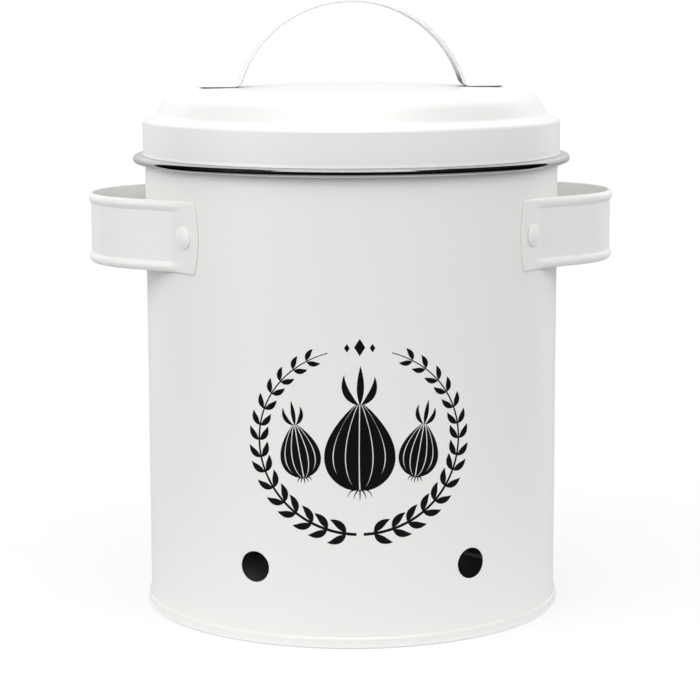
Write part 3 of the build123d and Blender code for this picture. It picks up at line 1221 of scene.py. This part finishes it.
class TIN_OT_rivets(bpy.types.Operator):
    """Domed rivets of the side handles"""

    bl_idname = "tin.rivets"
    bl_label = "Rivets"

    def execute(self, context):
        shell = build_rivets()
        make_piece("rivets", shell, "pot", rivet_coat(), ["side_handle_rivets"])
        return {"FINISHED"}


class TIN_OT_lid_handle(bpy.types.Operator):
    """Arched strap handle on the lid"""

    bl_idname = "tin.lid_handle"
    bl_label = "Lid handle"

    def execute(self, context):
        half = (ARCH_HIGH[1] - ARCH_LOW[1]) / 2
        line = ArchLine(ARCH_HIGH[2] - ARCH_LOW[2] - sizes().lid_strap - ARCH_BEAD_RISE)
        nose, tip_nose = ARCH_NOSE
        levels = strap_levels(half, ARCH_BEAD_WIDTH, nose)

        def sag(level):
            over = min(max(0.0, abs(level) - (half - ARCH_CORNER_R)), ARCH_CORNER_R)
            return ARCH_CORNER_R - sqrt(ARCH_CORNER_R ** 2 - over ** 2)

        shell = strap(
            line, sizes().lid_strap, ARCH_BEAD_RISE, levels, tip_nose, sag,
            lambda point, side, level: (side * point.x, level, point.y),
        )
        handle = make_piece("lid_handle_strap", shell, "lid", coat(), ["lid_handle"])
        middle = Vector((0, 0, ARCH_LOW[2]))

        def is_under(centre, normal):
            return normal.z < ARCH_DOWN or normal.dot((centre - middle).normalized()) < ARCH_INWARD

        # Painted shade: the strap's underside gets a coat that is near black at the feet
        coat_inside(handle, is_under, finish("arch_painted_shade_coat", arch_shade_coat))
        return {"FINISHED"}


class Emblem(Shell):
    """Ink strokes laid on the wall."""

    def stroke(self, centre, widths, across=2):
        """A stroke of ink along a line of (u, v) points, with its half widths, in the print's units."""
        count = len(centre)
        top = []
        foot = []
        for i in range(count):
            before = Vector(centre[max(i - 1, 0)])
            after = Vector(centre[min(i + 1, count - 1)])
            along = (after - before).normalized()
            side = Vector((-along.y, along.x)) * widths[i]
            row = [Vector(centre[i]) + side * (2 * j / across - 1) for j in range(across + 1)]
            top.append([self.add(on_wall(point, INK)) for point in row])
            foot.append([self.add(on_wall(point, -INK)) for point in row])
        for rows in (top, foot):
            for first, second in zip(rows, rows[1:]):
                self.bridge(first, second, closed=False)
        for k in (0, -1):
            self.bridge(top[k], foot[k], closed=False)
            self.bridge([row[k] for row in top], [row[k] for row in foot], closed=False)


def on_wall(point, height):
    """A point of the emblem, in the print's units along the wall and up, laid on the wall."""
    unit = sizes().print_width / PRINT_UNITS
    radius = sizes().wall_r + height
    angle = -pi / 2 + (point.x * unit + PRINT_SHIFT) / sizes().wall_r
    return upright(radius, angle, PRINT_Z + point.y * unit)


def bow(start, end, bulge, count):
    """Points of a shallow bow from start to end, bulging to its left."""
    a = Vector(start)
    b = Vector(end)
    left = Vector((a.y - b.y, b.x - a.x))
    return [a.lerp(b, s) + left * (4 * bulge * s * (1 - s)) for s in shares(count)]


def leaf_widths(count, most):
    """Half widths of a leaf, thin at both ends."""
    return [LEAF_LEAST + most * sin(pi * s ** LEAF_FULLEST) for s in shares(count)]


def thinning(most, fall, count):
    """Half widths that fall evenly along a stroke."""
    return [most - fall * s for s in shares(count)]


def turned(points, centre, angle):
    """Points turned about the origin and moved to a centre."""
    found = []
    for point in points:
        u, v = rotated(*point, angle)
        found.append((centre[0] + u, centre[1] + v))
    return found


def bulb(emblem, centre, width, height, tilt):
    """An onion: dark bands between thin light lines, roots below and a sprouting neck."""

    def reach(s):
        return width / 2 * sin(pi * s ** BULB_FULLEST) ** BULB_ROUND * (1 - BULB_TAPER * s)

    for low, high in zip(BANDS, BANDS[1:]):
        line = []
        widths = []
        for share in shares(BAND_STEPS):
            s = BAND_FOOT + BAND_RUN * share
            across = reach(s)
            line.append(((low + high) / 2 * across, height * (s - 0.5)))
            widths.append(max(BAND_LEAST, (high - low) / 2 * across - BAND_GAP / 2))
        emblem.stroke(turned(line, centre, tilt), widths, BAND_ACROSS)
    aside, up = BLADE_FOOT
    for lean, rise in BLADES:
        tip = (lean * width * BLADE_SPREAD, height * (0.5 + rise))
        blade = bow((lean * aside, height * up), tip, -BLADE_BOW * lean, BLADE_STEPS)
        emblem.stroke(turned(blade, centre, tilt), leaf_widths(BLADE_STEPS, width * BLADE_WIDTH))
    aside, down = ROOT_FOOT
    longest, loss = ROOT_LENGTH
    for lean in ROOTS:
        tip = (lean * width * ROOT_SPREAD, -height * (longest - abs(lean) * loss))
        root = bow((lean * aside, -height * down), tip, lean * ROOT_BOW, ROOT_STEPS)
        emblem.stroke(turned(root, centre, tilt), thinning(*ROOT_WIDTHS, ROOT_STEPS))


def branch(emblem, side):
    """A laurel branch that climbs from the foot of the wreath to near its top."""
    across, up = WREATH
    span = [WREATH_START + WREATH_SWEEP * s for s in shares(WREATH_STEPS)]
    stem = [(side * across * cos(a), up * sin(a)) for a in span]
    emblem.stroke(stem, thinning(*STEM_WIDTHS, WREATH_STEPS))
    for k in range(LEAF_PAIRS):
        i = LEAF_FIRST + round((WREATH_STEPS - LEAFLESS_STEPS) * k / LEAF_PAIRS)
        here = Vector(stem[i])
        along = (Vector(stem[i + 1]) - here).normalized()
        size = LEAF_LONGEST - LEAF_TAPER * k / LEAF_PAIRS
        for turn in (-1, 1):
            way = Vector(rotated(*along, LEAF_LEAN * turn))
            leaf = bow(here + way * LEAF_STALK, here + way * size, LEAF_BOW * turn, LEAF_STEPS)
            emblem.stroke(leaf, leaf_widths(LEAF_STEPS, size * LEAF_WIDTH))


def diamond(emblem, centre, width, height):
    """A small upright diamond."""
    steps = shares(DIAMOND_STEPS)
    line = [(centre[0], centre[1] + height * (s - 0.5)) for s in steps]
    emblem.stroke(line, [DIAMOND_LEAST + width / 2 * (1 - abs(2 * s - 1)) for s in steps])


class TIN_OT_emblem(bpy.types.Operator):
    """Printed emblem of three onions in a laurel wreath"""

    bl_idname = "tin.emblem"
    bl_label = "Printed emblem"

    def execute(self, context):
        emblem = Emblem()
        for centre, width, height, tilt in BULBS:
            bulb(emblem, centre, width, height, tilt)
        for side in (-1, 1):
            branch(emblem, side)
        for place, lift, width, height in DIAMONDS:
            diamond(emblem, (place, WREATH[1] + lift), width, height)
        make_piece("printed_emblem", emblem, "pot", finish("screen_ink", screen_ink))
        return {"FINISHED"}


class TIN_OT_stage(bpy.types.Operator):
    """Table top, reflection cards, lamp, surroundings and camera"""

    bl_idname = "tin.stage"
    bl_label = "Stage"

    def execute(self, context):
        add_floor()
        # Glowing cards seen only in mirrors, which paint the reflections in the trim
        black = finish("black_card", glowing_mirror_card, FRONT_LEVELS, FRONT_FADE)
        add_card("dark_card", (-FRONT_REACH, FRONT_REACH), front_top, black)
        grey = finish("grey_card", glowing_mirror_card, BACK_LEVELS, BACK_FADE)
        add_card("grey_card", (FRONT_REACH, 2 * pi - FRONT_REACH), lambda turn: BACK_TOP_Z, grey)
        add_lamp("left_softbox", LEFT_LAMP, LEFT_LAMP_SIZE, LEFT_LAMP_PLACE, LEFT_LAMP_TARGET)
        add_sky()
        add_camera()
        context.scene.view_settings.view_transform = "Standard"
        return {"FINISHED"}


def stage_mesh(name, verts, faces, material):
    """A mesh that belongs to the stage."""
    mesh = bpy.data.meshes.new(name)
    mesh.from_pydata(verts, [], faces)
    mesh.materials.append(material)
    piece = bpy.data.objects.new(name, mesh)
    bpy.context.scene.collection.objects.link(piece)
    return piece


def add_floor():
    """The table top, large enough to fill the view."""
    corners = [(x * FLOOR_HALF, y * FLOOR_HALF, 0.0) for x, y in ((-1, -1), (1, -1), (1, 1), (-1, 1))]
    stage_mesh("floor", corners, [(0, 1, 2, 3)], finish("matt_white_board", table_top))


def front_top(turn):
    """Height of the front card at a plan angle: lower in front, where the light comes in over it."""
    middle, half, fade = FRONT_WINDOW
    low_z, high_z = FRONT_TOP_Z
    return low_z + (high_z - low_z) * eased((abs(turn - middle) - half) / fade)


def add_card(name, span, top, paint):
    """A card that lies on the table round part of the tin and rises to a top, seen only in mirrors.

    Its plan angles are counted from the camera's side of the tin.
    """
    start, end = span
    verts = []
    for i in range(CARD_STEPS + 1):
        turn = start + (end - start) * i / CARD_STEPS
        section = ((CARD_INNER_R, CARD_LIFT), (CARD_FOOT_R, CARD_LIFT), (CARD_TOP_R, top(turn)))
        verts += [upright(radius, turn + CAMERA_SIDE - pi / 2, z) for radius, z in section]
    faces = []
    for i in range(CARD_STEPS):
        for k in (0, 1):
            corner = 3 * i + k
            faces.append((corner, corner + 3, corner + 4, corner + 1))
    card = stage_mesh(name, verts, faces, paint)
    card.visible_camera = False
    card.visible_diffuse = False
    card.visible_shadow = False
    card.visible_transmission = False


def add_lamp(name, power, size, place, target):
    """A square softbox that faces a point."""
    lamp = bpy.data.lights.new(name, "AREA")
    lamp.energy = power
    lamp.size = size
    piece = bpy.data.objects.new(name, lamp)
    piece.location = place
    piece.rotation_euler = (Vector(target) - Vector(place)).to_track_quat("-Z", "Y").to_euler()
    bpy.context.scene.collection.objects.link(piece)


def add_sky():
    """White surroundings, full white to the eye and in mirrors.

    As a lamp they are a wide ring of soft light, stronger in front of the tin than behind
    it, and weaker near the floor and overhead.
    """
    world = bpy.data.worlds.new("white_studio")
    world.use_nodes = True
    bpy.context.scene.world = world
    world.node_tree.nodes.clear()
    way = add_node(world, "ShaderNodeTexCoord").outputs["Generated"]
    height = add_node(world, "ShaderNodeVectorMath", {
        0: way, 1: (0.0, sin(SKY_TILT), cos(SKY_TILT))}, operation="DOT_PRODUCT")
    ramp = add_node(world, "ShaderNodeValToRGB", {"Fac": height.outputs["Value"]})
    for stop, (place, level) in zip(ramp_stops(ramp, len(SKY_RAMP)), SKY_RAMP):
        stop.position = place
        stop.color = (level, level, level, 1.0)
    parts = add_node(world, "ShaderNodeSeparateXYZ", {"Vector": way})
    drop = add_node(world, "ShaderNodeMapRange", {
        "Value": parts.outputs["Y"], "From Min": -1.0, "To Min": SKY_LAMP,
        "To Max": SKY_LAMP * (1 - SKY_BACK_DROP)})
    lamp = add_node(world, "ShaderNodeMath", {
        0: ramp.outputs["Color"], 1: drop.outputs["Result"]}, operation="MULTIPLY")
    strength = add_node(world, "ShaderNodeMix", {
        "Factor": seen_rays(world), "A": lamp.outputs["Value"], "B": SKY_SEEN})
    sky = add_node(world, "ShaderNodeBackground", {
        "Color": (1, 1, 1, 1), "Strength": strength.outputs["Result"]})
    add_node(world, "ShaderNodeOutputWorld", {"Surface": sky.outputs["Background"]})


def ramp_stops(ramp, count):
    """The stops of a colour ramp, grown to that many."""
    stops = ramp.color_ramp.elements
    while len(stops) < count:
        stops.new(1.0)
    return stops


def add_camera():
    """The camera at the photograph's place and angle."""
    camera = bpy.data.cameras.new("camera")
    camera.lens = CAMERA_LENS
    camera.sensor_width = CAMERA_SENSOR
    camera.clip_start, camera.clip_end = CAMERA_CLIP
    piece = bpy.data.objects.new("camera", camera)
    piece.location = (CAMERA_REACH * sin(CAMERA_SIDE), -CAMERA_REACH * cos(CAMERA_SIDE), CAMERA_Z)
    piece.rotation_euler = (pi / 2 - CAMERA_PITCH, CAMERA_ROLL, CAMERA_TURN)
    bpy.context.scene.collection.objects.link(piece)
    bpy.context.scene.camera = piece


OPERATORS = (
    TIN_OT_wall,
    TIN_OT_base,
    TIN_OT_trim,
    TIN_OT_side_handles,
    TIN_OT_rivets,
    TIN_OT_lid,
    TIN_OT_lid_handle,
    TIN_OT_emblem,
    TIN_OT_stage,
)


class TIN_PT_panel(bpy.types.Panel):
    """Sizes, colours and pieces of the tin"""

    bl_idname = "TIN_PT_panel"
    bl_label = "Onion tin"
    bl_space_type = "VIEW_3D"
    bl_region_type = "UI"
    bl_category = "Tin"

    def draw(self, context):
        for group in (context.scene.tin_sizes, context.scene.tin_colours):
            box = self.layout.box()
            for name in group.__annotations__:
                box.prop(group, name)
        for operator in OPERATORS:
            self.layout.operator(operator.bl_idname)


def register():
    """Registers the add-on's classes and properties."""
    for kind in (TinSizes, TinColours, *OPERATORS, TIN_PT_panel):
        bpy.utils.register_class(kind)
    bpy.types.Scene.tin_sizes = bpy.props.PointerProperty(type=TinSizes)
    bpy.types.Scene.tin_colours = bpy.props.PointerProperty(type=TinColours)


def unregister():
    """Removes what register added."""
    del bpy.types.Scene.tin_colours
    del bpy.types.Scene.tin_sizes
    for kind in (TIN_PT_panel, *reversed(OPERATORS), TinColours, TinSizes):
        bpy.utils.unregister_class(kind)


def main():
    """Builds the tin and its stage."""
    register()
    bpy.ops.tin.wall()
    bpy.ops.tin.base()
    bpy.ops.tin.trim()
    bpy.ops.tin.side_handles()
    bpy.ops.tin.rivets()
    bpy.ops.tin.lid()
    bpy.ops.tin.lid_handle()
    bpy.ops.tin.emblem()
    bpy.ops.tin.stage()


if __name__ == "__main__":
    main()
